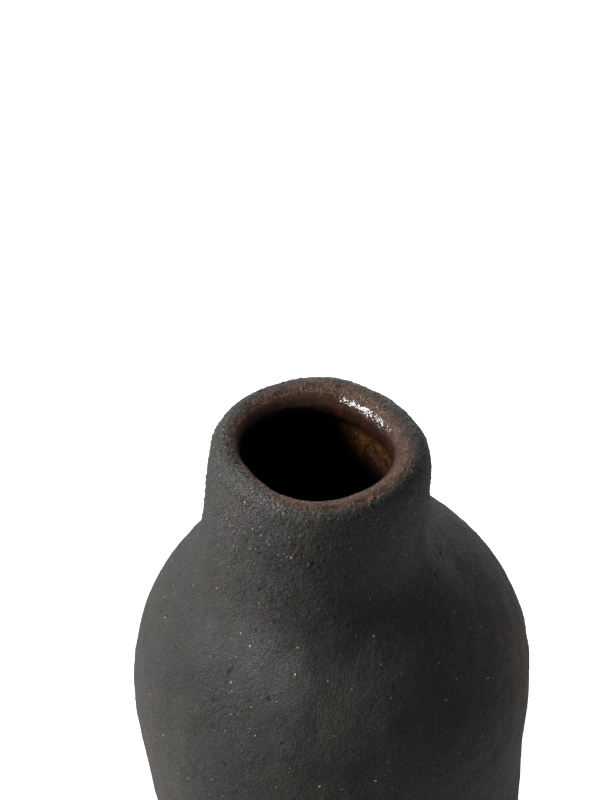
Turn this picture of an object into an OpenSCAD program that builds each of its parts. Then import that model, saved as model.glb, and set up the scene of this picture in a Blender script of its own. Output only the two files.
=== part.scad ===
// Hand-built stoneware vase: a round slab base, a wall raised in coiled courses,
// a domed shoulder, a narrow neck collar and a rolled lip, with a glossy glaze inside.
// The courses meet in bevelled joints that were scored, slipped and pressed together.
// Millimetres, +Z up. The origin is the centre of the flat foot.

/* [Overall size] */
// Height from the flat foot to the crown of the lip, at its middle
height = 240; // [230:1:252]
// Flat part of the foot that touches the table
foot_d = 94; // [88:1:98]
// Outside diameter where the wall leaves the base slab
heel_d = 104; // [100:1:106]
// Outside diameter at the waist of the body
waist_d = 110; // [107:1:113]
// Outside diameter at the widest part of the body
belly_d = 116; // [112:1:122]
// Outside diameter at the middle of the neck
neck_d = 61.4; // [58:0.2:64]

/* [Clay] */
// Thickness of the wall
wall = 7; // [6:0.25:7.5]
// Thickness of the base slab
slab_t = 8; // [7:0.5:9]
// Reach of the coil pressed into the inside corner of the base
coil = 10; // [8:0.5:12]
// Radius of the rolled lip, on average
roll_r = 4.5; // [4:0.1:4.8]
// Share by which the lip is thicker on one side and thinner on the other
roll_uneven = 0.2; // [0:0.05:0.25]

/* [Shaping by hand] */
// Sideways lean of the neck from the middle of the body
neck_shift = -4.6; // [-5:0.1:5]
// Sideways sway of the waist from the middle of the body
waist_sway = 2.1; // [0:0.1:2.4]
// Rise of one side of the lip over its middle height
lip_rise = 1.6; // [0:0.1:2]
// How far the mouth is out of round, as a share of the usual amount
unevenness = 1; // [0:0.1:1.3]

/* [Glaze] */
// Thickness of the glossy glaze lining
liner_t = 0.6; // [0.5:0.1:1]
// Depth of the glaze that pooled on the inside floor
pool_t = 1.4; // [1:0.1:2.4]
// Thickness of the thin brown glaze on the lip
lip_glaze_t = 0.3; // [0.2:0.05:0.4]

/* [Smoothness] */
// Number of sides round the vase
sides = 60; // [40:4:72]

/* [Hidden] */

foot_r = foot_d / 2;
heel_r = heel_d / 2;
waist_r = waist_d / 2;
belly_r = belly_d / 2;
neck_r = neck_d / 2;

// Heights are set for a vase 240 tall and follow the chosen height.
function up(z) = z * height / 240;

// Outside of the wall as [radius, height] knots, from the base slab to under the lip.
outline = [
  [heel_r, slab_t],
  [waist_r - 0.4, up(35)],
  [waist_r + 0.3, up(62)],
  [waist_r, up(90)],
  [belly_r - 1.8, up(120)],
  [belly_r, up(147)],
  [belly_r - 2, up(165)],
  [belly_r - 8.5, up(180)],
  [neck_r + 9.3, up(194)],
  [neck_r + 2.2, up(206)],
  [neck_r, up(219)],
  [neck_r - 1, up(231)]
];

// Places of the rows of points along the outline, counted in knots.
row_at = [
  0, 0.4, 0.9, 1.5, 2, 2.5, 2.75, 3.25, 3.75, 4.25, 4.75, 5,
  5.4, 6, 6.5, 7, 7.5, 8, 8.5, 9, 9.5, 10, 10.5, 11
];

// Rows where one course ends on the outside; its joint climbs to the next row inside.
seam_lower = 5;
seam_upper = 11;
seam_shoulder = 19;
seam_neck = 21;
last = len(row_at) - 1;

// Uneven mouth: [waves round the lip, size, direction of a wave's peak]
waves = [[2, 1.5, -43], [3, 0.15, 8], [4, 0.45, -15]];
// Direction in which the lip is highest, and the one in which it is thickest
rise_to = -13;
thick_to = 46;

// Smooth step from 0 to 1
function ease(t) = let (u = min(1, max(0, t))) u * u * (3 - 2 * u);

// Point on a smooth curve through the knots of a list
function knot(p, i) =
  i < 0 ? 2 * p[0] - p[1] :
  i >= len(p) ? 2 * p[len(p) - 1] - p[len(p) - 2] :
  p[i];
function curve(p, t) =
  let (
    i = min(floor(t), len(p) - 2),
    u = t - i,
    a = knot(p, i - 1),
    b = knot(p, i),
    c = knot(p, i + 1),
    d = knot(p, i + 2)
  )
  b + 0.5 * u * ((c - a) + u * ((2 * a - 5 * b + 4 * c - d) + u * (3 * b - a - 3 * c + d)));

// Direction towards the inside of the vase at point i of a path that runs up the wall
function inward(p, i) =
  let (
    a = p[max(0, i - 1)],
    b = p[min(len(p) - 1, i + 1)],
    t = (b - a) / norm(b - a)
  )
  [-t[1], t[0]];

// A coat of one thickness on the inside of a path
function coat(p, thick) = [for (i = [0 : len(p) - 1]) p[i] + thick * inward(p, i)];

// Part of a list, from index a to index b
function part(p, a, b) = [for (i = [a : b]) p[i]];
function reversed(p) = [for (i = [len(p) - 1 : -1 : 0]) p[i]];

outer = [for (t = row_at) curve(outline, t)];
wall_inside = coat(outer, wall);
inner = [
  for (i = [0 : last])
    i == 0 ? [heel_r - wall, slab_t] : wall_inside[i]
];

// Hollow face of the coil in the inside corner, from the floor up to row 1
coil_toe = [heel_r - wall - coil, slab_t];
coil_heel = [heel_r - wall - 1.5, slab_t + 1.5];
coil_face = [
  for (u = [0 : 0.2 : 1])
    (1 - u) * (1 - u) * coil_toe + 2 * u * (1 - u) * coil_heel + u * u * inner[1]
];

// Rolled lip: an arc from the outside, over the crown, to the mouth
crown_z = height - lip_glaze_t;
roll_mid = [neck_r - 1.7 - roll_r, crown_z - roll_r];
function on_roll(a, r) = roll_mid + r * [cos(a), sin(a)];
// The brown band lies between these places on the arc; the lining starts where it ends.
band_from = 50;
band_to = 130;
band_at = [band_from, 70, 90, 110, band_to];
lip_bare = [for (a = [0, 25]) on_roll(a, roll_r)];
lip_banded = [for (a = band_at) on_roll(a, roll_r)];
lip_inside = [on_roll(215, roll_r * 0.94), on_roll(180, roll_r), on_roll(155, roll_r)];

// Whole inside surface of the clay, from the floor to the mouth
inside = concat(coil_face, part(inner, 2, last), lip_inside, [on_roll(band_to, roll_r)]);
liner_skin = coat(inside, liner_t);
liner_top = len(inside) - 1;
liner_face = [
  for (i = [0 : liner_top])
    i == 0 ? [inside[0][0], slab_t + pool_t] :
    i == 1 ? [inside[1][0] - 0.3, slab_t + pool_t + 0.1] :
    i == 2 ? [inside[2][0] - 0.7, inside[2][1] + 1.1] :
    i == liner_top ? on_roll(band_to, roll_r + lip_glaze_t) :
    i == liner_top - 1 ? on_roll(155, roll_r + 0.6 * lip_glaze_t + 0.4 * liner_t) :
    liner_skin[i]
];

// Sideways drift of the middle of the vase at a height
function drift(z) =
  neck_shift * ease((z - up(190)) / up(20))
  + waist_sway * ease((up(145) - z) / up(50)) * ease((z - 20) / up(55));

// Change of radius round the uneven mouth
function swell(a) = unevenness * sum([for (w = waves) w[1] * cos(w[0] * (a - w[2]))]);
function sum(v, i = 0) = i < len(v) ? v[i] + sum(v, i + 1) : 0;

// A point of a section, turned to an angle and pushed out of true by hand
function placed(a, p) =
  let (
    thick = roll_uneven * cos(a - thick_to) * ease((p[1] - up(224)) / up(11)),
    q = p + thick * (p - roll_mid),
    r = q[0] + swell(a) * ease((p[1] - up(205)) / up(35)),
    z = q[1] + lip_rise * cos(a - rise_to) * p[0] / neck_r * ease((p[1] - up(210)) / up(30))
  )
  [r * cos(a) + drift(p[1]), r * sin(a), z];

// Solid swept round the vase from a closed section that clears the middle.
// The section runs anticlockwise, with the radius to the right and the height up.
module swept(section) {
  n = len(section);
  polyhedron(
    points = [
      for (i = [0 : sides - 1])
        for (p = section)
          placed(i * 360 / sides, p)
    ],
    faces = [
      for (i = [0 : sides - 1])
        for (k = [0 : n - 1])
          let (
            i2 = (i + 1) % sides,
            k2 = (k + 1) % n,
            a = i * n + k,
            b = i * n + k2,
            c = i2 * n + k2,
            d = i2 * n + k
          )
          each [[a, b, c], [a, c, d]]
    ],
    convexity = 10
  );
}

// Solid swept round the vase from a section whose two ends close over flat discs.
// The section runs from the rim of the lower disc to the rim of the upper disc.
module swept_cup(section) {
  n = len(section);
  polyhedron(
    points = [
      for (i = [0 : sides - 1])
        for (p = section)
          placed(i * 360 / sides, p)
    ],
    faces = concat(
      [
        for (i = [0 : sides - 1])
          for (k = [0 : n - 2])
            let (
              i2 = (i + 1) % sides,
              a = i * n + k,
              b = i * n + k + 1,
              c = i2 * n + k + 1,
              d = i2 * n + k
            )
            each [[a, b, c], [a, c, d]]
      ],
      [[for (i = [0 : sides - 1]) i * n]],
      [[for (i = [sides - 1 : -1 : 0]) i * n + n - 1]]
    ),
    convexity = 10
  );
}

// A course of the wall between two bevelled joints
module course(a, b) {
  swept(concat(
    part(outer, a, b),
    reversed(part(inner, a + 1, b + 1))
  ));
}

// Round slab cut from a rolled sheet, with its lower edge softened
module base_slab() {
  color([0.23, 0.22, 0.21])
  rotate_extrude($fn = 120)
  polygon([
    [0, 0],
    [foot_r, 0],
    [foot_r + 0.4 * (heel_r - foot_r), 0.8],
    [foot_r + 0.68 * (heel_r - foot_r), 2.4],
    [foot_r + 0.84 * (heel_r - foot_r), 4.6],
    [heel_r, slab_t],
    [0, slab_t]
  ]);
}

// Coil pressed into the corner between the slab and the wall
module corner_coil() {
  color([0.26, 0.24, 0.22])
  swept(concat([inner[0]], reversed(coil_face)));
}

// First courses, standing flat on the slab
module lower_wall() {
  color([0.24, 0.23, 0.22])
  swept(concat(
    part(outer, 0, seam_lower),
    reversed(part(inner, 0, seam_lower + 1))
  ));
}

// Courses up to the widest part of the body
module upper_wall() {
  color([0.25, 0.24, 0.23])
  course(seam_lower, seam_upper);
}

// Courses drawn in over the widest part to the foot of the neck
module shoulder() {
  color([0.24, 0.235, 0.23])
  course(seam_upper, seam_shoulder);
}

// Collar that makes the neck
module neck_collar() {
  color([0.23, 0.22, 0.21])
  course(seam_shoulder, seam_neck);
}

// Last coil, rolled over into the lip
module lip_coil() {
  color([0.27, 0.23, 0.21])
  swept(concat(
    part(outer, seam_neck, last),
    lip_bare,
    lip_banded,
    reversed(lip_inside),
    reversed(part(inner, seam_neck + 1, last))
  ));
}

// Glossy amber-black glaze over the floor, the wall and the inside of the neck
module glaze_lining() {
  color([0.16, 0.07, 0.03])
  swept_cup(concat(inside, reversed(liner_face)));
}

// Thin red-brown glaze over the crown of the lip
module lip_glaze_band() {
  color([0.36, 0.23, 0.17])
  swept(concat(
    reversed(lip_banded),
    [for (a = band_at) on_roll(a, roll_r + lip_glaze_t)]
  ));
}

base_slab();
corner_coil();
lower_wall();
upper_wall();
shoulder();
neck_collar();
lip_coil();
glaze_lining();
lip_glaze_band();
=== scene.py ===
import math

import bpy
import numpy as np
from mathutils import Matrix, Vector


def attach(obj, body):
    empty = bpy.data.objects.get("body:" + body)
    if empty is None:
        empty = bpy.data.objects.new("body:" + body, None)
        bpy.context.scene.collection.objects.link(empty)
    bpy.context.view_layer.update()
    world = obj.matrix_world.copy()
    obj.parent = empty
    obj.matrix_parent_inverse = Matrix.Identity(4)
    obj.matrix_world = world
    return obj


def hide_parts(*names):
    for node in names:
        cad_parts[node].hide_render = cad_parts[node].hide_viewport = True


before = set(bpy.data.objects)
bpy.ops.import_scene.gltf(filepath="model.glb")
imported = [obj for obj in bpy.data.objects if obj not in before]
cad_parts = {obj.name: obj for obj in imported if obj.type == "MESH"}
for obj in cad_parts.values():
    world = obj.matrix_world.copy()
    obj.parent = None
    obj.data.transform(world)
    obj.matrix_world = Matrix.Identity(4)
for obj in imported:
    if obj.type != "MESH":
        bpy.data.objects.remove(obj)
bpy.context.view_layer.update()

# ---------------------------------------------------------------- sizes, mm
# The same shape as the solids, so every piece lies where its solid does.
HEIGHT = 240.0
FOOT_R, HEEL_R, WAIST_R, BELLY_R, NECK_R = 47.0, 52.0, 55.0, 58.0, 30.7
WALL, SLAB, COIL, ROLL, ROLL_UNEVEN = 7.0, 8.0, 10.0, 4.5, 0.2
NECK_SHIFT, WAIST_SWAY, LIP_RISE = -4.6, 2.1, 1.6
LINER, POOL, LIP_GLAZE = 0.6, 1.4, 0.3
WAVES = ((2, 1.5, -43), (3, 0.15, 8), (4, 0.45, -15))
RISE_TO, THICK_TO = math.radians(-13), math.radians(46)
OUTLINE = np.array([
    (HEEL_R, SLAB), (WAIST_R - 0.4, 35), (WAIST_R + 0.3, 62), (WAIST_R, 90),
    (BELLY_R - 1.8, 120), (BELLY_R, 147), (BELLY_R - 2, 165), (BELLY_R - 8.5, 180),
    (NECK_R + 9.3, 194), (NECK_R + 2.2, 206), (NECK_R, 219), (NECK_R - 1, 231),
])
# Where one course of clay ends and the next begins, in knots of the outline:
# on the outside, and where the bevelled joint comes out on the inside.
LOWER_END, UPPER_END, SHOULDER_END, NECK_END = (2.5, 2.75), (5.0, 5.4), (9.0, 9.5), (10.0, 10.5)
LIP_START = len(OUTLINE) - 1
# Zones of height over which the unevenness grows: where each begins, and how tall it is.
# The waist's sway fades again over the last stretch below SWAY_TOP.
SHIFT_ZONE, SWELL_ZONE, RISE_ZONE, THICK_ZONE = (190, 20), (205, 35), (210, 30), (224, 11)
SWAY_ZONE, SWAY_TOP, SWAY_FADE = (20, 55), 145, 50

CROWN = HEIGHT - LIP_GLAZE
ROLL_MID = np.array([NECK_R - 1.7 - ROLL, CROWN - ROLL])
BAND_FROM, BAND_TO = 34, 130  # degrees round the roll, from its outside
BURIED = 0.8  # how far hidden faces lie under the surface that covers them
OVERLAP = 0.13  # how far the lip's clay stands out under the glaze band

COLS = 640  # points round the outside
LINER_COLS = 160  # points round the lining, below the neck
rng = np.random.default_rng(41)


# ------------------------------------------------------------ shape helpers
def ease(t):
    t = np.clip(t, 0, 1)
    return t * t * (3 - 2 * t)


def grown(z, zone):
    """0 below a zone of height, 1 above it."""
    return ease((z - zone[0]) / zone[1])


def hump(x, width):
    """1 where x is 0, fading to 0 on both sides over about this width."""
    return np.exp(-(x / width) ** 2)


def wrapped(degrees):
    """The same angle, from -180 to 180."""
    return (degrees + 180) % 360 - 180


def curve(p, t):
    """Smooth curve through the knots p at places t, counted in knots."""
    p = np.vstack([2 * p[0] - p[1], p, 2 * p[-1] - p[-2]])
    t = np.atleast_1d(t)
    i = np.minimum(np.floor(t).astype(int), len(p) - 4)
    u = (t - i)[:, None]
    a, b, c, d = p[i], p[i + 1], p[i + 2], p[i + 3]
    return b + 0.5 * u * ((c - a) + u * ((2 * a - 5 * b + 4 * c - d) + u * (3 * b - a - 3 * c + d)))


def wall_point(t, depth):
    """Point of the wall at place t, this deep under the outside."""
    t = np.atleast_1d(t)
    below = curve(OUTLINE, np.maximum(0, t - 0.2))
    above = curve(OUTLINE, np.minimum(LIP_START, t + 0.2))
    along = (above - below) / np.linalg.norm(above - below, axis=1)[:, None]
    return curve(OUTLINE, t) + depth * np.stack([-along[:, 1], along[:, 0]], 1)


def on_roll(degrees, r):
    """Point of the lip's round section, this far from its middle."""
    a = np.radians(np.atleast_1d(degrees))
    return ROLL_MID + r * np.stack([np.cos(a), np.sin(a)], 1)


def drift(z):
    """How far the middle of the pot lies to the right at this height."""
    sway = WAIST_SWAY * ease((SWAY_TOP - z) / SWAY_FADE)
    return NECK_SHIFT * grown(z, SHIFT_ZONE) + sway * grown(z, SWAY_ZONE)


def swell(a):
    return sum(s * np.cos(n * (a - math.radians(p))) for n, s, p in WAVES)


def placed(path, cols):
    """Rings of points, one for each (radius, height) of the path."""
    a = np.arange(cols) * 2 * math.pi / cols
    r, z = path[:, :1], path[:, 1:]
    thick = ROLL_UNEVEN * np.cos(a - THICK_TO) * grown(z, THICK_ZONE)
    rr = r + thick * (r - ROLL_MID[0]) + swell(a) * grown(z, SWELL_ZONE)
    zz = z + thick * (z - ROLL_MID[1]) + LIP_RISE * np.cos(a - RISE_TO) * r / NECK_R * grown(z, RISE_ZONE)
    return np.stack([rr * np.cos(a) + drift(z), rr * np.sin(a), zz], 2)


def flat_ring(r, z, cols):
    return placed(np.array([(r, z)]), cols)[0]


def run_length(path):
    return np.concatenate([[0], np.cumsum(np.linalg.norm(np.diff(path, axis=0), axis=1))])


def spaced(path, step):
    """The same path with points this far apart, ends kept."""
    s = run_length(path)
    t = np.linspace(0, s[-1], max(1, round(s[-1] / step)) + 1)
    return np.stack([np.interp(t, s, path[:, 0]), np.interp(t, s, path[:, 1])], 1)


def softened(path, reach, keep):
    """Rounds the small corners of a path over about `reach` mm, except its first `keep` points."""
    s = run_length(path)
    w = np.exp(-0.5 * ((s[:, None] - s[None]) / reach) ** 2) * np.gradient(s)[None]
    out = (w @ path) / w.sum(1)[:, None]
    out[:keep] = path[:keep]
    return out


def normals(p):
    """Outward normals of a sheet of rings whose rows run up the outside."""
    along = np.gradient(p, axis=0)
    around = np.roll(p, -1, 1) - np.roll(p, 1, 1)
    n = np.cross(around, along)
    return n / np.linalg.norm(n, axis=2)[:, :, None]


# ------------------------------------------------------------------- noise
def cell_hash(x, y, z, seed):
    h = (x * 374761393 + y * 668265263 + z * 2147483629 + seed * 1274126177) & 0xFFFFFFFF
    h = ((h ^ (h >> 13)) * 1274126177) & 0xFFFFFFFF
    return h ^ (h >> 16)


def noise(p, size, seed, squash=(1, 1, 1)):
    """Smooth random field, about -1 to 1, with features of about `size` mm."""
    q = p / (size * np.array(squash))
    i = np.floor(q).astype(np.int64)
    f = q - i
    u = f * f * f * (f * (6 * f - 15) + 10)
    out = np.zeros(p.shape[:-1])
    for dx in (0, 1):
        for dy in (0, 1):
            for dz in (0, 1):
                h = cell_hash(i[..., 0] + dx, i[..., 1] + dy, i[..., 2] + dz, seed)
                # Ten bits of the hash for each part of the slope at this corner.
                g = (((h & 1023) - 511.5) * (f[..., 0] - dx)
                     + (((h >> 10) & 1023) - 511.5) * (f[..., 1] - dy)
                     + (((h >> 20) & 1023) - 511.5) * (f[..., 2] - dz)) / 511.5
                w = ((u[..., 0] if dx else 1 - u[..., 0])
                     * (u[..., 1] if dy else 1 - u[..., 1])
                     * (u[..., 2] if dz else 1 - u[..., 2]))
                out += g * w
    return out * 1.4


def stamp(field, sheet, rows, cols, radius, height, stretch=None, lean=None):
    """Adds round or drawn-out marks to a field over a sheet: raised where height > 0."""
    n_rows, n_cols = field.shape
    for k in range(len(rows)):
        r, c, rad = rows[k], cols[k], radius[k]
        here = sheet[r, c]
        du = np.linalg.norm(sheet[r, (c + 1) % n_cols] - here)
        dv = np.linalg.norm(sheet[min(r + 1, n_rows - 1), c] - sheet[max(r - 1, 0), c]) / 2
        reach = rad * (stretch[k] if stretch is not None else 1) * 2
        nr, nc = int(reach / dv) + 1, min(int(reach / du) + 1, n_cols // 2 - 1)
        rr = np.arange(max(0, r - nr), min(n_rows, r + nr + 1))
        cc = np.arange(c - nc, c + nc + 1)
        y, x = np.meshgrid((rr - r) * dv, (cc - c) * du, indexing="ij")
        if stretch is not None:
            ca, sa = math.cos(lean[k]), math.sin(lean[k])
            x, y = (x * ca + y * sa) / stretch[k], -x * sa + y * ca
        d = (x * x + y * y) / (rad * rad)
        field[rr[:, None], (cc % n_cols)[None]] += height[k] * np.exp(-d * d * 0.9)


# ------------------------------------------------------------- mesh builder
def strip(a, b, na, nb):
    """Faces between two rings that begin at points a and b. Either ring may have twice as many points."""
    i = np.arange(min(na, nb))
    if na == nb:
        j = (i + 1) % na
        return np.stack([a + i, a + j, b + j, b + i], 1)
    if na == 2 * nb:
        return np.stack([a + 2 * i, a + 2 * i + 1, a + (2 * i + 2) % na, b + (i + 1) % nb, b + i], 1)
    return np.stack([a + i, a + (i + 1) % na, b + (2 * i + 2) % nb, b + 2 * i + 1, b + 2 * i], 1)


def build(name, rings, closed, hard=()):
    """A watertight piece from a run of rings. Two rings next to each other have the same
    number of points, or one has twice as many. `hard` are the rings that end a visible face."""
    start, total = [], 0
    for ring in rings:
        start.append(total)
        total += len(ring)
    co = np.concatenate(rings) * 0.001
    pairs = [(k, k + 1) for k in range(len(rings) - 1)] + ([(len(rings) - 1, 0)] if closed else [])
    loops, sizes = [], []
    for a, b in pairs:
        f = strip(start[a], start[b], len(rings[a]), len(rings[b]))
        loops.append(f.ravel())
        sizes.append(np.full(len(f), f.shape[1]))
    if not closed:
        first, last = np.arange(len(rings[0])), np.arange(len(rings[-1]))
        loops += [start[0] + first[::-1], start[-1] + last]
        sizes += [[len(first)], [len(last)]]
    loops, sizes = np.concatenate(loops), np.concatenate(sizes)
    me = bpy.data.meshes.new(name)
    me.vertices.add(len(co))
    me.vertices.foreach_set("co", co.astype(np.float32).ravel())
    me.loops.add(len(loops))
    me.loops.foreach_set("vertex_index", loops.astype(np.int32))
    me.polygons.add(len(sizes))
    face_starts = np.concatenate([[0], np.cumsum(sizes)[:-1]])
    me.polygons.foreach_set("loop_start", face_starts.astype(np.int32))
    me.polygons.foreach_set("use_smooth", np.ones(len(sizes), bool))
    me.update(calc_edges=True)
    me.validate()
    if len(hard):
        on = np.full(len(co), -1)
        for k in hard:
            on[start[k]:start[k] + len(rings[k])] = k
        ends = np.empty(len(me.edges) * 2, np.int32)
        me.edges.foreach_get("vertices", ends)
        ends = ends.reshape(-1, 2)
        sharp = (on[ends[:, 0]] >= 0) & (on[ends[:, 0]] == on[ends[:, 1]])
        me.attributes.new("sharp_edge", "BOOLEAN", "EDGE").data.foreach_set("value", sharp)
    ob = bpy.data.objects.new(name, me)
    bpy.context.scene.collection.objects.link(ob)
    return ob


def paint(ob, name, values):
    """Stores one number at each point of a piece, for its material."""
    stored = ob.data.attributes.new(name, "FLOAT", "POINT")
    stored.data.foreach_set("value", np.concatenate(values).astype(np.float32))


def paint_even(ob, rings, **values):
    """Stores numbers that are the same all over a piece."""
    for name, value in values.items():
        paint(ob, name, [np.full(len(ring), value) for ring in rings])


# -------------------------------------------------------------- the outside
def run(t0, t1, step):
    return spaced(curve(OUTLINE, np.linspace(t0, t1, 400)), step)


heel = curve(np.array([
    (FOOT_R - 2, 0), (FOOT_R, 0), (FOOT_R + 2, 0.8), (FOOT_R + 3.4, 2.4), (FOOT_R + 4.2, 4.6),
    (HEEL_R, SLAB), (HEEL_R + 0.9, 11.5),
]), np.linspace(1, 5, 120))
lip_round = on_roll(np.linspace(0, BAND_TO, 70), ROLL + OVERLAP)
sections = [
    ("base_slab", spaced(heel, 0.5)),
    ("lower_wall", run(0, LOWER_END[0], 0.62)),
    ("upper_wall", run(LOWER_END[0], UPPER_END[0], 0.6)),
    ("shoulder", run(UPPER_END[0], SHOULDER_END[0], 0.5)),
    ("neck_collar", run(SHOULDER_END[0], NECK_END[0], 0.32)),
    ("lip_coil", spaced(np.vstack([run(NECK_END[0], LIP_START, 0.3), lip_round]), 0.26)),
]
# One path for all of them, so that the surface runs on smoothly from course to course.
rows_of, chain = {}, [sections[0][1][:1]]
for name, path in sections:
    first = sum(map(len, chain)) - 1
    rows_of[name] = (first, first + len(path) - 1)
    chain.append(path[1:])
under = np.stack([np.linspace(FOOT_R - 8, FOOT_R, 17)[:-1], np.zeros(16)], 1)
after = on_roll(np.linspace(BAND_TO + 3, 200, 24), ROLL + OVERLAP)
chain = np.vstack([under] + chain + [after])
chain = softened(chain, 1.1, len(under) + 1)[len(under):-len(after)]
outside = placed(chain, COLS)
out_n = normals(outside)

# Broad presses of the hand: azimuth, height, reach round the pot, reach upwards, how far out.
PRESSES = (
    (-106, 190, 12, 9, 1.3), (-86, 187, 11, 7, 0.5), (-141, 188, 6, 6, 0.35), (-60, 204, 12, 8, -0.6),
    (-58, 189, 15, 7, 0.6), (-23, 210, 4, 12, 0.5), (-10, 196, 9, 8, -0.4), (-125, 168, 14, 12, -0.4),
    (-94, 172, 14, 9, -0.3), (-50, 150, 20, 14, -0.4), (20, 176, 18, 12, 0.5), (70, 196, 14, 10, -0.5),
    (120, 170, 20, 12, 0.6), (165, 150, 16, 20, -0.5), (-80, 120, 20, 12, -0.5), (-20, 108, 16, 14, 0.5),
    (95, 110, 20, 16, 0.5), (-150, 70, 20, 14, 0.5), (-70, 50, 20, 12, -0.4), (40, 60, 22, 16, 0.5),
    (130, 40, 18, 12, -0.4), (-86, 206, 20, 8, 1.2), (-88, 177, 17, 8, 1.0), (-30, 204, 14, 8, 0.9),
    (-50, 168, 16, 9, 0.4), (-148, 150, 12, 22, -0.5), (-100, 190, 4, 8, 0.45), (-72, 172, 5, 9, 0.22),
    (-106, 181, 9, 3.5, 0.3),
)
# Lumps left by the fingers and the scraper: height, size, squash.
LUMPS = ((0.42, 34, (1, 1, 1)), (0.29, 15, (1.3, 1.3, 0.8)), (0.25, 7, (1, 1, 1)), (0.10, 3.4, (1, 1, 1)))


def spot(turn, path, to, z, reach, tall):
    """A soft spot on a sheet: 1 in its middle, at azimuth `to` and height z, fading to 0 around it."""
    away = np.radians(wrapped(turn - to)) * path[:, :1] / reach
    return np.exp(-away ** 2 - ((path[:, 1:] - z) / tall) ** 2)


def handwork(sheet, path):
    """How far the maker's hands left the surface out or in, in mm."""
    out = sum(high * noise(sheet, size, seed, squash) for seed, (high, size, squash) in enumerate(LUMPS, 1))
    turn = np.degrees(np.arctan2(sheet[..., 1], sheet[..., 0] - drift(path[:, 1:])))
    for *where, high in PRESSES:
        out += high * spot(turn, path, *where)
    return out


up = chain[:, 1:]
az = np.arange(COLS) * 2 * math.pi / COLS
column_deg = np.degrees(np.broadcast_to(az, outside.shape[:2]))
lumps = handwork(outside, chain)
near_lip = grown(up, (196, 34))


def patch(to, z, reach, tall):
    return spot(column_deg, chain, to, z, reach, tall)


# The clay is torn open in some spots and rubbed smooth in others.
torn = np.maximum(ease(0.35 + 1.1 * noise(outside, 24, 31)), patch(-126, 181, 14, 13))
coarse, fine = noise(outside, 1.9, 5), noise(outside, 1.05, 6)
grain = (0.035 * coarse + (0.045 + 0.035 * near_lip) * fine) * (0.85 + 0.6 * torn)


def scatter(count, low, high):
    """Random places on the outside, spread evenly over its area between two heights."""
    area = np.linalg.norm(np.gradient(outside, axis=0), axis=2)[:, 0] * chain[:, 0]
    area = area * (chain[:, 1] >= low) * (chain[:, 1] <= high)
    rows = rng.choice(len(chain), count, p=area / area.sum())
    return rows, rng.integers(0, COLS, count)


def at(turn, z):
    """Row and column of the outside nearest to an azimuth in degrees and a height."""
    return int(np.abs(chain[:, 1] - z)[:-20].argmin()), round(turn / 360 * COLS) % COLS


marks = np.zeros(outside.shape[:2])


def mark_all_over(count, low, high, radius, height, side, drawn_out=False):
    """Stamps random marks between two heights: side 1 stands out of the surface, -1 lies in it."""
    r, c = scatter(count, low, high)
    shape = [rng.uniform(*radius, count), side * rng.uniform(*height, count)]
    if drawn_out:
        shape += [rng.uniform(1.5, 4.0, count), rng.uniform(0.4, 2.4, count)]
    stamp(marks, outside, r, c, *shape)


# Sand just under the surface, grit on the neck, pits, and scratches.
mark_all_over(6000, 1, 240, (0.28, 0.55), (0.02, 0.11), 1)
mark_all_over(3200, 204, 240, (0.22, 0.42), (0.05, 0.22), 1)
mark_all_over(700, 1, 232, (0.3, 0.55), (0.10, 0.34), -1)
mark_all_over(130, 4, 225, (0.3, 0.5), (0.06, 0.2), -1, drawn_out=True)
# Tears and pinholes big enough to see on their own: azimuth, height, size, depth, stretch, lean.
TEARS = (
    (-129, 187, 0.38, 0.35, 4.5, 1.2), (-131, 178, 0.33, 0.3, 3.5, 1.5), (-128, 172, 0.48, 0.4, 1.4, 0.3),
    (-112, 185, 0.48, 0.4, 1.5, 2.6), (-76, 218, 0.38, 0.3, 1.3, 0.2), (-11, 204, 0.48, 0.35, 1.2, 0.0),
    (60, 200, 0.48, 0.3, 1.6, 0.8), (140, 160, 0.48, 0.4, 1.4, 0.4),
)
for turn, z, size, deep, long, lean in TEARS:
    r, c = at(turn, z)
    stamp(marks, outside, [r], [c], [size], [-deep], [long], [lean])

# How far over the lip the brown band reaches: azimuth, and degrees round the roll from its outside.
BAND_EDGE = (
    (-180, 102), (-150, 104), (-125, 94), (-105, 73), (-90, 67), (-60, 66), (-30, 76), (0, 80),
    (30, 74), (60, 66), (90, 66), (120, 72), (150, 90), (180, 102),
)
column_az = wrapped(np.degrees(az))
ring_xy = np.stack([30 * np.cos(az), 30 * np.sin(az), np.zeros(COLS)], 1)
edge = np.interp(column_az, *np.array(BAND_EDGE, float).T)
edge = edge + 7 * noise(ring_xy, 14, 21) + 4 * noise(ring_xy, 4, 22)
# The band ends more sharply in front than elsewhere.
crisp = 14 + 26 * ease((np.abs(wrapped(column_az + 75)) - 30) / 60)
roll_deg = np.degrees(np.arctan2(chain[:, 1] - ROLL_MID[1], chain[:, 0] - ROLL_MID[0]))[:, None]
roll_deg = np.where(up > ROLL_MID[1], roll_deg, (up - ROLL_MID[1]) / ROLL * 57)
stain = ease((roll_deg - edge + 14) / (crisp * 1.4))

# Bare grit shows most on the neck, more on its left, and just outside the brown band. On the left and
# beside the band, where the key light falls, it also carries painted glints: more pale specks and a harsher
# speckle in the colour.
to_left = hump(wrapped(column_az + 140), 60)
beside_band = hump(roll_deg - edge + 12, 14)
grit = 0.22 + 0.2 * torn + near_lip * (0.1 + 0.5 * to_left) + 0.5 * beside_band

# Warm blushes where the fire touched the body: azimuth, height, reach round, reach up, strength.
BLUSHES = (
    (-176, 122, 20, 34, 0.62), (-6, 152, 17, 30, 0.62), (60, 90, 25, 20, 0.2),
    (120, 60, 22, 16, 0.18), (-70, 40, 22, 14, 0.15),
)
broken = 0.6 + 0.8 * noise(outside, 15, 33, (1, 1, 1.8)) + 0.45 * noise(outside, 5, 34)
broken = np.clip(broken, 0, 1.3)
for *where, warm in BLUSHES:
    stain = np.maximum(stain, warm * patch(*where) * broken)
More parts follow.
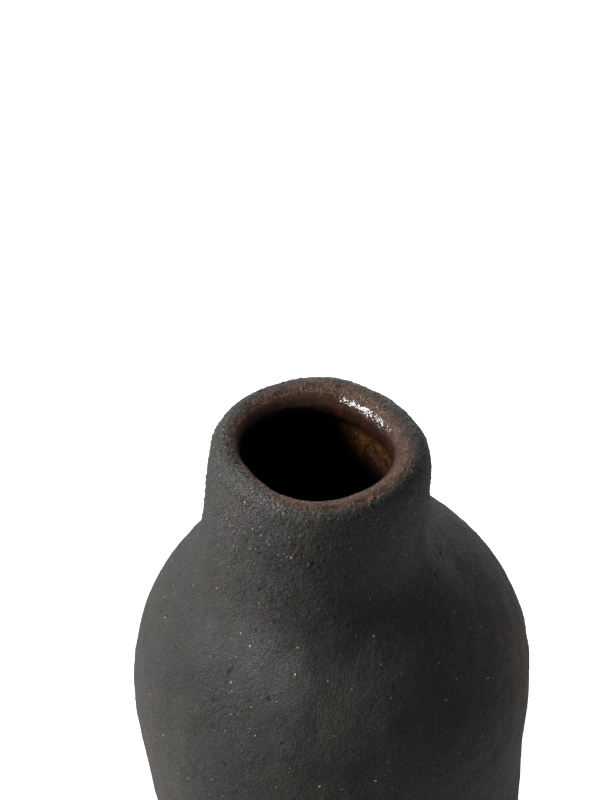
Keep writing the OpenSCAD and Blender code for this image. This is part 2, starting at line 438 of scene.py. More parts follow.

# Clouds of painted light and painted shade. On the front they lighten the body where it should catch more
# light, such as the lit left edge and the facets that face the lamp, and darken it where it should lie in
# shade. Round the back they are smoky tone. Azimuth, height, reach round, reach up, and how much lighter or
# darker than the rest.
PAINTED_LIGHT_AND_CLOUDS = (
    (-88, 201, 16, 8, -0.42), (-26, 196, 14, 8, -0.38), (-8, 186, 12, 9, -0.40), (-90, 168, 18, 8, -0.30),
    (-50, 178, 10, 8, -0.12), (-112, 218, 11, 14, -0.22), (-58, 222, 16, 14, 0.28), (-115, 195, 9, 7, 0.38),
    (-94, 187, 14, 5, 0.26), (-146, 190, 6, 5, 0.22), (-140, 148, 8, 20, 0.34), (-160, 130, 13, 30, 0.75),
    (-17, 146, 9, 26, 0.5), (120, 150, 30, 20, 0.15), (-138, 178, 15, 10, -0.3), (-152, 186, 12, 12, -0.12),
    (-114, 227, 6, 10, -0.14), (-92, 168, 14, 7, -0.1), (-44, 223, 9, 14, 0.16), (-71, 166, 10, 7, 0.12),
    (-20, 182, 15, 10, -0.3), (-34, 172, 9, 8, -0.14), (-84, 216, 10, 8, -0.10), (-40, 238, 14, 4, -0.2),
    (-68, 160, 12, 10, 0.12), (60, 110, 26, 18, -0.20), (170, 190, 20, 12, -0.15), (20, 60, 30, 16, 0.15),
    (-60, 80, 26, 14, -0.15), (180, 60, 26, 20, 0.15), (70, 205, 16, 10, -0.15), (140, 215, 12, 10, 0.12),
)
cloudy = 1 + sum(lighter * patch(*where) for *where, lighter in PAINTED_LIGHT_AND_CLOUDS)
# Spots painted a little bluer: azimuth, height, reach round, reach up, how much. The first, on the front
# facet that faces the key lamp, is a painted highlight tint; the rest are bluer clay.
COOL_AND_LIT_TINT = (
    (-112, 192, 13, 10, 1.0), (-130, 181, 10, 8, 0.7), (-46, 224, 12, 12, 0.6), (-62, 172, 18, 12, 0.7),
    (-10, 196, 10, 8, 0.5), (40, 150, 24, 20, 0.6), (110, 190, 20, 14, 0.6), (160, 100, 26, 20, 0.6),
)
cool_and_lit_tint = sum(much * patch(*where) for *where, much in COOL_AND_LIT_TINT)

# The clay stands in a low gritty ridge just outside the band, most of all on the left and in front.
ridge = 0.22 * hump(roll_deg - edge + 13, 9) * (0.35 + 0.65 * to_left)
fade = ease(up / 4)
clay = outside + out_n * (lumps * fade + (grain + marks + ridge) * fade)[:, :, None]
clay[:, :, 2] = np.maximum(clay[:, :, 2], 0)
# What the clay's material reads over the outside, and its value on hidden faces.
FIELDS = {"relief": (grain + marks, 0.0), "stain": (stain, 0.0), "grit": (grit, 0.0),
          "cloudy": (cloudy, 1.0), "cool_and_lit_tint": (cool_and_lit_tint, 0.0)}


# ---------------------------------------------------------- pieces of clay
LOWEST, COIL_TOP = 0.08, 0.4  # knots of the outline: just above the slab, and the top of the coil
ROLL_END = 215  # degrees round the roll, to where its inside meets the wall
COIL_COLS = 320  # points round the coil
pieces = {}


def rows(sheet, a, b):
    return [sheet[k] for k in range(a, b + 1)]


def hidden(path, cols=COLS):
    return list(placed(path, cols))


def inner_rows(t0, t1, n):
    """Hidden inside face of the wall, under the glaze."""
    return wall_point(np.linspace(t0, t1, n), WALL - BURIED)


def stand_in(ob, node):
    """The piece takes the place of the solid of this name."""
    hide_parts(node)
    pieces[node] = ob


def clay_piece(node, hidden_path):
    """One course of clay: its rows of the outside, closed by hidden faces."""
    a, b = rows_of[node]
    seen, rest = rows(clay, a, b), hidden(hidden_path)
    total = len(seen) + len(rest)
    ob = build(node + "_clay", seen + rest, True, hard=(0, len(seen) - 1, len(seen), total - 1))
    for field, (values, unseen) in FIELDS.items():
        paint(ob, field, rows(values, a, b) + [np.full(COLS, unseen)] * len(rest))
    stand_in(ob, node)


corner = np.array([(HEEL_R - WALL, SLAB)])
roll_inside = on_roll((BAND_TO + 5, 155, 180, ROLL_END), ROLL - BURIED)
clay_piece("lower_wall", np.vstack([inner_rows(LOWER_END[1], LOWEST, 14), corner]))
clay_piece("upper_wall", inner_rows(UPPER_END[1], LOWER_END[1], 14))
clay_piece("shoulder", inner_rows(SHOULDER_END[1], UPPER_END[1], 18))
clay_piece("neck_collar", inner_rows(NECK_END[1], SHOULDER_END[1], 5))
clay_piece("lip_coil", np.vstack([roll_inside, inner_rows(LIP_START, NECK_END[1], 3)]))

# Slab: underside from the middle out, softened edge, then the hidden top.
outer_r = np.arange(13, 47, 1.0)
disc_r = np.concatenate([(1.5, 3, 6, 9, 12), outer_r])
disc_n = [20, 40, 80, 160, 160] + [320 if q < 26 else 640 for q in outer_r]
disc = [flat_ring(q, 0.0, n) for q, n in zip(disc_r, disc_n)]
# Shallow dents in the underside, fading out towards the foot's edge: depth, size.
DENTS = ((0.10, 9), (0.05, 2.2), (0.04, 1.0))
dents = []
for ring, q in zip(disc, disc_r):
    dent = sum(deep * (1 + noise(ring, size, seed)) for seed, (deep, size) in enumerate(DENTS, 11))
    dent *= ease((FOOT_R - q) / 3)
    ring[:, 2] = dent
    dents.append(-dent * 0.5)
a, b = rows_of["base_slab"]
side = rows(clay, a, b)
top_r, top_n = (45, 40, 30, 20, 10, 4), (640, 320, 160, 80, 40, 20)
top = [flat_ring(q, SLAB, n) for q, n in zip(top_r, top_n)]
slab_rings = disc + side + top
ob = build("base_slab_clay", slab_rings, False, hard=(len(disc) + len(side) - 1,))
paint(ob, "relief", dents + rows(FIELDS["relief"][0], a, b) + [np.zeros(n) for n in top_n])
paint_even(ob, slab_rings, stain=0.0, grit=0.35, cloudy=1.0)
stand_in(ob, "base_slab")

# Coil in the inside corner, all of it under the glaze. Its face is one curve from floor to wall.
toe = np.array((HEEL_R - WALL - COIL, SLAB))
bend = np.array((HEEL_R - WALL - 1.5, SLAB + 1.5))
crest = wall_point(COIL_TOP, WALL)[0]
u = np.linspace(0, 1, 13)[:, None]
fillet = (1 - u) ** 2 * toe + 2 * u * (1 - u) * bend + u ** 2 * crest
coil_path = np.vstack([corner, wall_point(np.linspace(LOWEST, 0.32, 4), WALL), fillet[::-1]])
coil_rings = hidden(coil_path, COIL_COLS)
ob = build("corner_coil_clay", coil_rings, True)
paint_even(ob, coil_rings, relief=0.0, stain=0.0, grit=0.0, cloudy=1.0)
stand_in(ob, "corner_coil")


# -------------------------------------------------------------- the glazes
def bearing(ring):
    """Azimuth of each point of a ring, from the middle of the neck."""
    return np.arctan2(ring[:, 1], ring[:, 0] - NECK_SHIFT)


def facing(ring, toward, spread):
    """1 on the side of a ring towards an azimuth, falling to 0 away from it."""
    return hump(wrapped(np.degrees(bearing(ring)) - toward), spread)


# One smooth path from the brown band on the crown, over the mouth and down to the floor.
FINE_TO = 6.6  # knot of the outline below which the lining is coarser
FLOOR_TOP = SLAB + POOL
band_deg = np.linspace(BAND_FROM, BAND_TO, 36)
inner_deg = np.linspace(BAND_TO, 200, 20)
coat = np.interp(inner_deg, (BAND_TO, 180), (LIP_GLAZE, LINER))[:, None]
over_edge = on_roll(inner_deg, ROLL) + (on_roll(inner_deg, 1) - ROLL_MID) * coat
neck_path = spaced(np.vstack([over_edge, wall_point(np.linspace(10.9, FINE_TO, 60), WALL + LINER)]), 0.5)
body_path = spaced(wall_point(np.linspace(FINE_TO, 0.55, 200), WALL + LINER), 1.5)[1:]
on_coil = fillet[::-1][1:] + np.array([-0.45, 0.75]) * (1 - u[1:] * 0.2)
floor_path = np.vstack([on_coil, [(34.6, FLOOR_TOP)]])
floor_path = spaced(np.vstack([body_path[-1:], floor_path]), 1.2)[1:]
floor_path[:, 1] = np.maximum(floor_path[:, 1], FLOOR_TOP)
inner_path = np.vstack([on_roll(band_deg, ROLL + LIP_GLAZE), neck_path[1:], body_path, floor_path])
inner_path = softened(inner_path, 1.3, 30)
n_band = len(band_deg)
n_zone = n_band + len(neck_path) - 1

band_zone = placed(inner_path[:n_zone], COLS)
# Rings here run inwards and down, so this is the normal on the air side.
band_n = normals(band_zone)
on_clay = handwork(band_zone, inner_path[:n_zone])
past_band = np.minimum(220, BAND_TO + np.arange(1, n_zone - n_band + 1) * 6.0)
deg = np.concatenate([band_deg, past_band])[:, None]
# How full the glaze is: thin at the band's ragged edge, and a little thin over all of the crown.
thin = ease((deg - edge[None]) / crisp)
thinned = 0.24 * (1 - ease((deg - 110) / 26))
skin = (-thinned - 0.42 * (1 - thin) ** 2 + 0.05 * noise(band_zone, 1.6, 23)
        + 0.045 * noise(band_zone, 0.9, 24) * thin
        + 0.05 * noise(band_zone, 0.6, 25) * hump(deg - 118, 26))
clay_fade = 1 - 0.65 * ease((deg - 110) / 90)
skin_fade = 1 - 0.6 * ease((deg - 120) / 40)
band_zone = band_zone + band_n * (on_clay * clay_fade + skin * skin_fade)[:, :, None]

band_seen = rows(band_zone, 0, n_band - 1)
band_under = hidden(on_roll(np.linspace(BAND_TO, BAND_FROM, 12), ROLL - 2 * BURIED))
band_rings = band_seen + band_under
ob = build("lip_glaze_band_skin", band_rings, True, hard=(0, n_band - 1, n_band, len(band_rings) - 1))
paint(ob, "thin", rows(thin, 0, n_band - 1) + [np.ones(COLS)] * len(band_under))
# Glossier on the side where the lamp's highlight falls, and there gold flecks are painted in as glints.
paint(ob, "gloss", [facing(ring, 40, 34) for ring in band_rings])
stand_in(ob, "lip_glaze_band")

# The lining is coarser further down, where the inside is dark.
neck_part = [band_zone[k][::2] for k in range(n_band, n_zone)]
body_zone = placed(inner_path[n_zone:], LINER_COLS)
wave = 0.15 * noise(body_zone, 34, 1) + 0.08 * noise(body_zone, 15, 2) + 0.06 * noise(body_zone, 5, 26)
body_zone = body_zone + normals(body_zone) * wave[:, :, None]
pool_r = (33, 31, 29, 27, 25, 22.5, 20, 17.5, 15, 12.5, 10, 7, 4, 2)
pool_n = (160,) * 6 + (80,) * 4 + (40,) * 2 + (20,) * 2
pool = [flat_ring(q, FLOOR_TOP, n) for q, n in zip(pool_r, pool_n)]
for ring in pool:
    ring[:, 2] += 0.12 * noise(ring, 12, 27)
# Its hidden back, from the middle of the floor up to the crown.
back = np.vstack([
    fillet,
    wall_point(np.linspace(0.6, 6, 22), WALL),
    wall_point(np.linspace(6.3, LIP_START, 20), WALL - BURIED / 2),
    on_roll((ROLL_END, 180, 155, BAND_TO), ROLL - BURIED),
])
back_rings = [flat_ring(q, SLAB, n) for q, n in zip((4, 9, 16, 25), (20, 40, 80, 160))]
back_rings += hidden(back[:-1], LINER_COLS) + hidden(back[-1:], 2 * LINER_COLS)
lining = back_rings + [band_zone[n_band - 1]] + neck_part + list(body_zone) + pool
ob = build("glaze_lining_skin", lining, False, hard=(len(back_rings) - 1, len(back_rings)))


def amber(ring):
    """Amber in the glaze: round the mouth's edge where it lies thin, and a band on the right wall about 12
    mm down, which is partly painted light where the key lamp shines in.
    """
    deep = np.maximum(0, CROWN - 2 - ring[:, 2])
    wall = (0.06 + 0.94 * facing(ring, 38, 52)) * hump(deep - 12, 10)
    return np.maximum(wall, (0.22 + 0.28 * facing(ring, 58, 48)) * hump(deep, 6))


def brown_inside(ring):
    """The lip's brown runs over its inner edge, furthest on the left."""
    under_crown = CROWN + 0.85 * LIP_RISE * np.cos(bearing(ring) - RISE_TO) - ring[:, 2]
    reach = 0.5 + 1.3 * (1 - facing(ring, 42, 60))
    return hump(np.maximum(0, under_crown - 1), reach)


paint(ob, "amber", [amber(ring) for ring in lining])
paint(ob, "brown", [brown_inside(ring) for ring in lining])
paint(ob, "matt", [brown_inside(ring) * (1 - facing(ring, 45, 55)) for ring in lining])
stand_in(ob, "glaze_lining")

# -------------------------------------------------------------- grog grains
# Pale grains of fired clay that stand a little proud of the surface, each a chipped icosahedron.
GOLDEN = (1 + 5 ** 0.5) / 2
ico_v = np.array([
    (-1, GOLDEN, 0), (1, GOLDEN, 0), (-1, -GOLDEN, 0), (1, -GOLDEN, 0),
    (0, -1, GOLDEN), (0, 1, GOLDEN), (0, -1, -GOLDEN), (0, 1, -GOLDEN),
    (GOLDEN, 0, -1), (GOLDEN, 0, 1), (-GOLDEN, 0, -1), (-GOLDEN, 0, 1),
])
ico_v = ico_v / np.linalg.norm(ico_v[0])
ico_f = np.array([
    (0, 11, 5), (0, 5, 1), (0, 1, 7), (0, 7, 10), (0, 10, 11), (1, 5, 9), (5, 11, 4), (11, 10, 2),
    (10, 7, 6), (7, 1, 8), (3, 9, 4), (3, 4, 2), (3, 2, 6), (3, 6, 8), (3, 8, 9), (4, 9, 5),
    (2, 4, 11), (6, 2, 10), (8, 6, 7), (9, 8, 1),
])
# Grains big enough to see on their own: azimuth, height, radius.
BIG_GRAINS = (
    (-103, 225, 0.34), (-97, 226, 0.22), (-124, 195, 0.42), (-104, 192, 0.38), (-69, 200, 0.30),
    (-92, 191, 0.26), (-109, 185, 0.30), (-52, 180, 0.30), (-78, 165, 0.32), (-177, 187, 0.30),
    (-147, 203, 0.28), (176, 180, 0.26), (-168, 182, 0.26), (-114, 175, 0.22), (-94, 164, 0.30),
    (-24, 187, 0.24), (30, 190, 0.32), (75, 170, 0.36), (110, 200, 0.30), (140, 145, 0.34),
    (100, 90, 0.32), (10, 120, 0.3),
)


def grains(name, count, low_z, high_z, small, large):
    """Random grains between two heights, most of them small, and the big ones, as one mesh."""
    rr, cc = scatter(count, low_z, high_z)
    size = small + (large - small) * rng.random(count) ** 3
    big = [at(turn, z) for turn, z, _ in BIG_GRAINS]
    rr, cc = np.append(rr, [r for r, _ in big]), np.append(cc, [c for _, c in big])
    size = np.append(size, [radius for _, _, radius in BIG_GRAINS])
    lightness = np.append(rng.random(count), np.linspace(0.75, 1, len(big)))
    co, faces, tone = [], [], []
    for k in range(len(size)):
        place, n = clay[rr[k], cc[k]], out_n[rr[k], cc[k]]
        side = np.cross(n, (0.3, 0.2, 0.9))
        side /= np.linalg.norm(side)
        over = np.cross(n, side)
        turn = rng.uniform(0, 6.28)
        e1 = (side * math.cos(turn) + over * math.sin(turn)) * rng.uniform(0.9, 1.5)
        e2 = (over * math.cos(turn) - side * math.sin(turn)) * rng.uniform(0.7, 1.0)
        v = ico_v * rng.uniform(0.8, 1.15, (12, 1))
        shape = (v[:, :1] * e1 + v[:, 1:2] * e2 + v[:, 2:] * n * 0.75) * size[k]
        co.append(place + shape - n * size[k] * 0.45)
        faces.append(ico_f + 12 * k)
        tone.append(np.full(12, lightness[k]))
    me = bpy.data.meshes.new(name)
    me.from_pydata((np.concatenate(co) * 0.001).tolist(), [], np.concatenate(faces).tolist())
    me.update()
    ob = bpy.data.objects.new(name, me)
    bpy.context.scene.collection.objects.link(ob)
    paint(ob, "tone", tone)
    return ob


pieces["grog_grains"] = grains("grog_grains", 360, 3, 236, 0.15, 0.36)


# --------------------------------------------------------------- materials
class Nodes:
    """A material built from nodes. A value given to a method is a number, a colour or a socket."""

    def __init__(self, name):
        self.mat = bpy.data.materials.new(name)
        self.mat.use_nodes = True
        self.tree = self.mat.node_tree
        self.shader = self.tree.nodes["Principled BSDF"]
        self.where = self.add("ShaderNodeTexCoord").outputs["Object"]

    def add(self, kind, **sets):
        n = self.tree.nodes.new(kind)
        for k, v in sets.items():
            setattr(n, k, v)
        return n

    def link(self, a, b):
        self.tree.links.new(a, b)

    def feed(self, value, socket):
        if isinstance(value, (int, float)):
            socket.default_value = value
        elif isinstance(value, tuple):
            socket.default_value = (*value, 1)
        else:
            self.link(value, socket)

    def moved(self, offset, squash=(1, 1, 1)):
        """The place on the object, shifted so that two patterns don't line up."""
        m = self.add("ShaderNodeMapping")
        m.inputs["Location"].default_value = (offset, offset * 0.7, -offset)
        m.inputs["Scale"].default_value = squash
        self.link(self.where, m.inputs["Vector"])
        return m.outputs["Vector"]

    def noise(self, size_mm, detail=2.0, rough=0.5, offset=0.0, squash=(1, 1, 1)):
        """Noise with features of about this size."""
        n = self.add("ShaderNodeTexNoise")
        n.inputs["Scale"].default_value = 1000.0 / size_mm
        n.inputs["Detail"].default_value = detail
        n.inputs["Roughness"].default_value = rough
        self.link(self.moved(offset, squash), n.inputs["Vector"])
        return n.outputs["Fac"]

    def cells(self, size_mm, offset=0.0):
        n = self.add("ShaderNodeTexVoronoi")
        n.inputs["Scale"].default_value = 1000.0 / size_mm
        self.link(self.moved(offset), n.inputs["Vector"])
        return n

    def dots(self, size_mm, offset, radius):
        """A round dot in the middle of each cell, and random numbers that differ from cell to cell."""
        cell = self.cells(size_mm, offset)
        pick = self.add("ShaderNodeSeparateColor")
        self.link(cell.outputs["Color"], pick.inputs[0])
        return self.math("LESS_THAN", cell.outputs["Distance"], radius), pick.outputs

    def ramp(self, fac, *stops):
        n = self.add("ShaderNodeValToRGB")
        e = n.color_ramp.elements
        while len(e) < len(stops):
            e.new(0.5)
        for k, (at, colour) in enumerate(stops):
            e[k].position = at
            c = colour if isinstance(colour, tuple) else (colour,) * 3
            e[k].color = (*c, 1)
        self.link(fac, n.inputs["Fac"])
        return n.outputs["Color"]

    def mix(self, fac, a, b, kind="MIX"):
        n = self.add("ShaderNodeMix", data_type="RGBA", blend_type=kind)
        for value, socket in ((fac, n.inputs[0]), (a, n.inputs[6]), (b, n.inputs[7])):
            self.feed(value, socket)
        return n.outputs[2]

    def tint(self, colour, by):
        return self.mix(1.0, colour, by, "MULTIPLY")

    def math(self, kind, a, b, clamp=False):
        n = self.add("ShaderNodeMath", operation=kind, use_clamp=clamp)
        self.feed(a, n.inputs[0])
        self.feed(b, n.inputs[1])
        return n.outputs[0]

    def times(self, a, b):
        return self.math("MULTIPLY", a, b)

    def plus(self, a, b, clamp=False):
        return self.math("ADD", a, b, clamp)

    def minus(self, a, b, clamp=False):
        return self.math("SUBTRACT", a, b, clamp)

    def stored(self, name):
        return self.add("ShaderNodeAttribute", attribute_name=name).outputs["Fac"]

    def bump(self, height, strength, distance_mm, under=None):
        n = self.add("ShaderNodeBump")
        n.inputs["Strength"].default_value = strength
        n.inputs["Distance"].default_value = distance_mm * 0.001
        self.link(height, n.inputs["Height"])
        if under is not None:
            self.link(under, n.inputs["Normal"])
        return n.outputs["Normal"]


def clay_colour(m, stain):
    """Charcoal clay, going to the red brown of the lip as `stain` goes from 0 to 1."""
    cloud = m.noise(38, 2)
    mottle = m.noise(5, 3, 0.6, 0.013)
    colour = m.ramp(cloud, (0.32, (0.0224, 0.0212, 0.0180)), (0.68, (0.0284, 0.0268, 0.0226)))
    # Rubbed spots look a little bluer.
    rubbed = m.ramp(m.noise(18, 2, 0.5, 0.09), (0.46, (1.0, 1.0, 1.0)), (0.60, (1.02, 0.975, 1.15)))
    colour = m.tint(colour, rubbed)
    fired = m.noise(2.0, 3, 0.65, 0.02)
    brown = m.ramp(fired, (0.3, (0.023, 0.0098, 0.0056)), (0.7, (0.088, 0.0435, 0.0270)))
    ragged = m.plus(stain, m.times(m.minus(m.noise(0.9, 3, 0.6, 0.017), 0.5), 1.1))
    colour = m.mix(m.ramp(ragged, (0.12, 0.0), (0.95, 1.0)), colour, brown)
    return m.tint(colour, m.ramp(mottle, (0.3, 0.86), (0.7, 1.14)))


# Specks of sand, and pale specks painted as glints where there is more grit: spacing, radius within it, how
# rare, how many more on grit, and the pattern's shift. The second kind shows only where grit is high, as
# painted glints.
SPECKS = ((1.4, 0.18, 0.992, 0.03, 0.0), (0.75, 0.25, 1.03, 0.10, 0.03))


def sand_and_glint_specks(m, colour, grit):
    """Fine pale and rusty specks of sand, more of them where there is more grit; the pale ones there are
    partly painted glints.
    """
    for size, radius, rare, more, offset in SPECKS:
        dot, pick = m.dots(size, offset, radius)
        few = m.math("GREATER_THAN", m.plus(pick[0], m.times(grit, more)), rare)
        rusty, sandy, pale = (0.17, 0.09, 0.045), (0.25, 0.19, 0.12), (0.34, 0.30, 0.25)
        speck = m.ramp(pick[1], (0.15, rusty), (0.42, sandy), (0.9, pale))
        colour = m.mix(m.times(dot, few), colour, speck)
    return colour


def pinhole_shade(m, colour):
    """Painted shade of scattered pinholes, about half a millimetre across: dark dots in the colour, with no
    holes in the surface.
    """
    dot, pick = m.dots(1.9, 0.07, 0.18)
    few = m.math("GREATER_THAN", pick[0], 0.80)
    return m.mix(m.times(m.times(dot, few), 0.75), colour, (0.005, 0.0045, 0.004))


def rounded(m, size_mm, offset):
    """Height of a surface of round grains."""
    return m.minus(1.0, m.cells(size_mm, offset).outputs["Distance"])


def sandy_bump(m, strength=1.0):
    """Soft pitting, rounded grains and fine grit, one on the other."""
    b = m.bump(m.noise(1.15, 2, 0.5, 0.02), 0.6 * strength, 0.36)
    b = m.bump(rounded(m, 0.8, 0.05), 0.8 * strength, 0.13, b)
    return m.bump(m.noise(0.4, 2, 0.6, 0.05), 0.9 * strength, 0.17, b)


def stoneware():
    m = Nodes("dark_stoneware_fired")
    grit = m.stored("grit")
    sand = m.noise(0.42, 2, 0.6, 0.031)
    colour = clay_colour(m, m.stored("stain"))
    soft = m.ramp(sand, (0.34, 0.58), (0.5, 0.97), (0.68, 1.6))
    harsh = m.ramp(sand, (0.37, 0.25), (0.5, 0.85), (0.62, 2.5))
    # Where grit is high, on the lit left of the neck, the speckle is harsher: partly painted glints.
    gritty = m.minus(m.times(grit, 1.6), 0.45, True)
    colour = m.tint(colour, m.mix(gritty, soft, harsh))
    # Grains that stand up are rubbed a little paler, and pits get painted shade.
    worn_and_pit_shade = m.plus(m.times(m.stored("relief"), 2.2), 0.5)
    colour = m.tint(colour, m.ramp(worn_and_pit_shade, (0.0, 0.3), (0.42, 0.96), (0.6, 1.04), (1.0, 1.32)))
    # The painted light and shade of the clouds: 0.5 leaves half of the colour, 1.5 half as much again.
    shade = m.times(m.stored("cloudy"), 0.5)
    colour = m.tint(colour, m.ramp(shade, (0.25, 0.5), (0.75, 1.5)))
    # Bluer where the spots are painted, partly a painted highlight tint on the lit front facet.
    bluer = m.ramp(m.stored("cool_and_lit_tint"), (0.0, (1.0, 1.0, 1.0)), (1.0, (0.985, 1.0, 1.10)))
    colour = pinhole_shade(m, m.tint(colour, bluer))
    colour = sand_and_glint_specks(m, colour, grit)
    m.link(colour, m.shader.inputs["Base Color"])
    m.link(m.ramp(sand, (0.35, 0.82), (0.66, 0.58)), m.shader.inputs["Roughness"])
    m.shader.inputs["Specular IOR Level"].default_value = 0.4
    # The dusty surface catches light at a slant.
    m.shader.inputs["Sheen Weight"].default_value = 0.05
    m.shader.inputs["Sheen Roughness"].default_value = 0.35
    m.link(sandy_bump(m), m.shader.inputs["Normal"])
    return m.mat


def liner():
    m = Nodes("amber_black_glaze")
    amber, brown = m.stored("amber"), m.stored("brown")
    streak = m.noise(2.6, 4, 0.6, 0.04, (1, 1, 0.35))
    fleck = m.noise(0.8, 3, 0.6, 0.06)
    # Amber shows where painted: partly the glaze's colour, partly painted light on the lit right wall.
    shown = m.times(amber, m.ramp(streak, (0.38, 0.35), (0.62, 1.0)))
    shown = m.times(shown, m.ramp(m.noise(5, 2, 0.5, 0.12), (0.4, 0.45), (0.58, 1.0)))
    black, dark, warm = (0.0090, 0.0085, 0.0082), (0.026, 0.0090, 0.0056), (0.050, 0.019, 0.009)
    colour = m.ramp(shown, (0.0, black), (0.22, dark), (0.55, warm), (1.0, (0.092, 0.041, 0.014)))
    golden = m.minus(m.times(amber, 1.5), 0.5, True)
    gold = m.times(m.ramp(fleck, (0.56, 0.0), (0.64, 1.0)), golden)
    colour = m.mix(gold, colour, (0.145, 0.080, 0.024))
    rim = m.ramp(fleck, (0.3, (0.030, 0.0130, 0.0065)), (0.7, (0.066, 0.032, 0.017)))
    ragged = m.plus(brown, m.times(m.minus(streak, 0.5), 0.8), True)
    colour = m.mix(m.times(ragged, brown), colour, rim)
    m.link(colour, m.shader.inputs["Base Color"])
    dull = m.times(m.stored("matt"), 0.42)
    rough = m.plus(m.ramp(streak, (0.35, 0.12), (0.65, 0.20)), dull)
    m.link(rough, m.shader.inputs["Roughness"])
    m.shader.inputs["Specular IOR Level"].default_value = 0.3
    b = m.bump(m.noise(2.2, 2, 0.5, 0.07), 0.45, 0.45)
    b = m.bump(rounded(m, 0.9, 0.02), 0.6, 0.14, b)
    m.link(m.bump(m.noise(0.5, 2, 0.6, 0.09), 0.6, 0.10, b), m.shader.inputs["Normal"])
    return m.mat


def lip():
    m = Nodes("red_brown_lip_glaze")
    sand = m.noise(0.42, 2, 0.6, 0.031)
    gloss = m.stored("gloss")
    colour = clay_colour(m, m.stored("thin"))
    colour = m.tint(colour, m.ramp(sand, (0.36, 0.35), (0.5, 0.92), (0.64, 2.1)))
    # Gold flecks only on the side where the highlight falls: painted glints.
    flecks = m.ramp(m.noise(0.7, 3, 0.6, 0.06), (0.58, 0.0), (0.66, 1.0))
    gold = m.times(flecks, m.times(gloss, 0.8))
    colour = m.mix(gold, sand_and_glint_specks(m, colour, 0.7), (0.26, 0.15, 0.05))
    m.link(colour, m.shader.inputs["Base Color"])
    rough = m.minus(m.ramp(sand, (0.35, 0.70), (0.66, 0.48)), m.times(gloss, 0.15))
    m.link(rough, m.shader.inputs["Roughness"])
    m.shader.inputs["Specular IOR Level"].default_value = 0.32
    m.link(sandy_bump(m, 1.15), m.shader.inputs["Normal"])
    return m.mat


def grog():
    m = Nodes("pale_grog")
    rusty, tan, buff, cream = (0.24, 0.15, 0.09), (0.40, 0.28, 0.17), (0.55, 0.46, 0.34), (0.78, 0.69, 0.55)
    colour = m.ramp(m.stored("tone"), (0.0, rusty), (0.35, tan), (0.7, buff), (1.0, cream))
    m.link(colour, m.shader.inputs["Base Color"])
    m.link(m.ramp(m.noise(0.4, 1), (0.3, 0.75), (0.7, 0.55)), m.shader.inputs["Roughness"])
    m.link(m.bump(m.noise(0.3, 2), 0.5, 0.08), m.shader.inputs["Normal"])
    return m.mat


looks = {"stoneware": stoneware(), "liner": liner(), "lip": lip(), "grog": grog()}
for name, ob in pieces.items():
    kind = {"glaze_lining": "liner", "lip_glaze_band": "lip", "grog_grains": "grog"}.get(name, "stoneware")
    ob.data.materials.append(looks[kind])
    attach(ob, "root")

# ------------------------------------------------- floor, lights and camera
FLOOR_REACH, FLOOR_SIDES = 40, 48
FLOOR_TONE, FLOOR_GLOW = 0.6, 0.75
GLOW_FROM, GLOW_FULL = 0.35, 1.1  # metres from the middle
corners = [math.pi * 2 * k / FLOOR_SIDES for k in range(FLOOR_SIDES)]
floor_co = [(FLOOR_REACH * math.cos(turn), FLOOR_REACH * math.sin(turn), 0) for turn in corners]
floor_me = bpy.data.meshes.new("floor")
floor_me.from_pydata(floor_co, [], [tuple(range(FLOOR_SIDES))])
floor = bpy.data.objects.new("floor", floor_me)
bpy.context.scene.collection.objects.link(floor)
ground_look = Nodes("pale_floor")
ground_look.shader.inputs["Base Color"].default_value = (FLOOR_TONE, FLOOR_TONE, FLOOR_TONE, 1)
ground_look.shader.inputs["Roughness"].default_value = 0.9
ground_look.shader.inputs["Emission Color"].default_value = (1, 1, 1, 1)
# Beyond the vase's shadow the floor glows to full white, so that no horizon shows.
out_from = ground_look.add("ShaderNodeVectorMath", operation="LENGTH")
ground_look.link(ground_look.where, out_from.inputs[0])
glow = ground_look.add("ShaderNodeMapRange")
for socket, value in zip(glow.inputs[1:5], (GLOW_FROM, GLOW_FULL, FLOOR_GLOW, 1.0)):
    socket.default_value = value
ground_look.link(out_from.outputs["Value"], glow.inputs[0])
ground_look.link(glow.outputs[0], ground_look.shader.inputs["Emission Strength"])
floor_me.materials.append(ground_look.mat)
floor.visible_diffuse = floor.visible_glossy = False

# White walls low down, under a dim ceiling. The floor is white to the eye, but its glow is kept
# off the vase: the vase sees a dimmer ground instead, brighter on the left.
GROUND, GROUND_LEFT, WALLS, CEILING = 0.37, 1.25, 1.0, 0.05
GROUND_TO, WALLS_TO, CEILING_FROM = -0.016, 0.17, 0.24  # height of the direction looked in
world = bpy.data.worlds.new("studio")
world.use_nodes = True
world_links = world.node_tree.links


def world_node(kind, *values, **sets):
    n = world.node_tree.nodes.new(kind)
    for k, v in sets.items():
        setattr(n, k, v)
    for socket, v in zip(n.inputs, values):
        if isinstance(v, bpy.types.NodeSocket):
            world_links.new(v, socket)
        else:
            socket.default_value = v
    return n


def world_math(kind, *values, **sets):
    return world_node("ShaderNodeMath", *values, operation=kind, **sets).outputs[0]


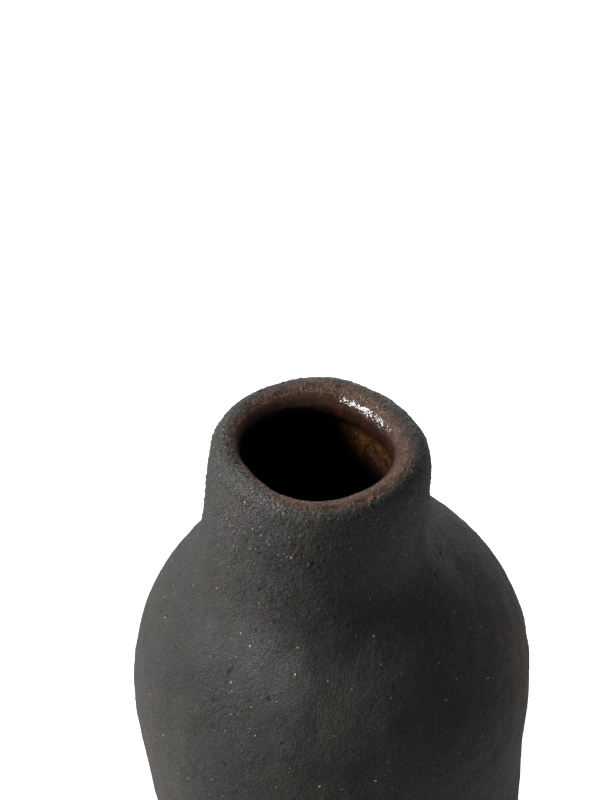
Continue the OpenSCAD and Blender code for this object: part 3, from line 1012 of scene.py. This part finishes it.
sky = world_node("ShaderNodeTexCoord")
way = world_node("ShaderNodeSeparateXYZ", sky.outputs["Generated"]).outputs
leftward = world_math("POWER", world_math("MULTIPLY", way["X"], -1.0, use_clamp=True), 4.0)
ground = world_math("MULTIPLY_ADD", leftward, GROUND_LEFT, GROUND)
walls = world_node("ShaderNodeValToRGB", world_math("MULTIPLY_ADD", way["Z"], 0.5, 0.5))
while len(walls.color_ramp.elements) < 3:
    walls.color_ramp.elements.new(0.5)
levels = ((0.0, WALLS), (WALLS_TO, WALLS), (CEILING_FROM, CEILING))
for stop, (at_z, level) in zip(walls.color_ramp.elements, levels):
    stop.position, stop.color = (at_z + 1) / 2, (level, level, level, 1)
above = world_math("GREATER_THAN", way["Z"], GROUND_TO)
around_it = world_node("ShaderNodeMix", above, data_type="RGBA")
world_links.new(ground, around_it.inputs[6])
world_links.new(walls.outputs["Color"], around_it.inputs[7])
world_links.new(around_it.outputs[2], world.node_tree.nodes["Background"].inputs["Color"])
bpy.context.scene.world = world

LIGHTS_AIM = Vector((0, 0, 0.18))
LIGHTS_AWAY = 2.2


def softbox(name, direction, size, power, mirrored=True):
    """A square light that looks at the vase from this direction."""
    light = bpy.data.lights.new(name, "AREA")
    light.shape, light.size, light.energy = "SQUARE", size, power
    ob = bpy.data.objects.new(name, light)
    d = Vector(direction).normalized()
    ob.location = LIGHTS_AIM + d * LIGHTS_AWAY
    ob.rotation_euler = d.to_track_quat("Z", "Y").to_euler()
    ob.visible_glossy = mirrored
    bpy.context.scene.collection.objects.link(ob)


softbox("key_left", (-0.82, -0.04, 0.60), 0.56, 82)
softbox("back_wall", (0.0, 0.97, 0.26), 2.0, 22)
softbox("rim_right", (0.74, 0.66, 0.08), 1.2, 30, mirrored=False)

# The camera looks down on the mouth, from in front.
CAM_DOWN, CAM_AWAY, CAM_LENS, CAM_FILM = math.radians(41), 0.65, 110.3, 36
CAM_TARGET = Vector((-0.0092, 0, 0.25465))
cam = bpy.data.cameras.new("camera")
cam.sensor_width, cam.lens, cam.clip_start = CAM_FILM, CAM_LENS, 0.01
eye = bpy.data.objects.new("camera", cam)
eye.location = CAM_TARGET + CAM_AWAY * Vector((0, -math.cos(CAM_DOWN), math.sin(CAM_DOWN)))
eye.rotation_euler = (math.pi / 2 - CAM_DOWN, 0, 0)
bpy.context.scene.collection.objects.link(eye)
bpy.context.scene.camera = eye
bpy.context.scene.view_settings.view_transform = "Standard"
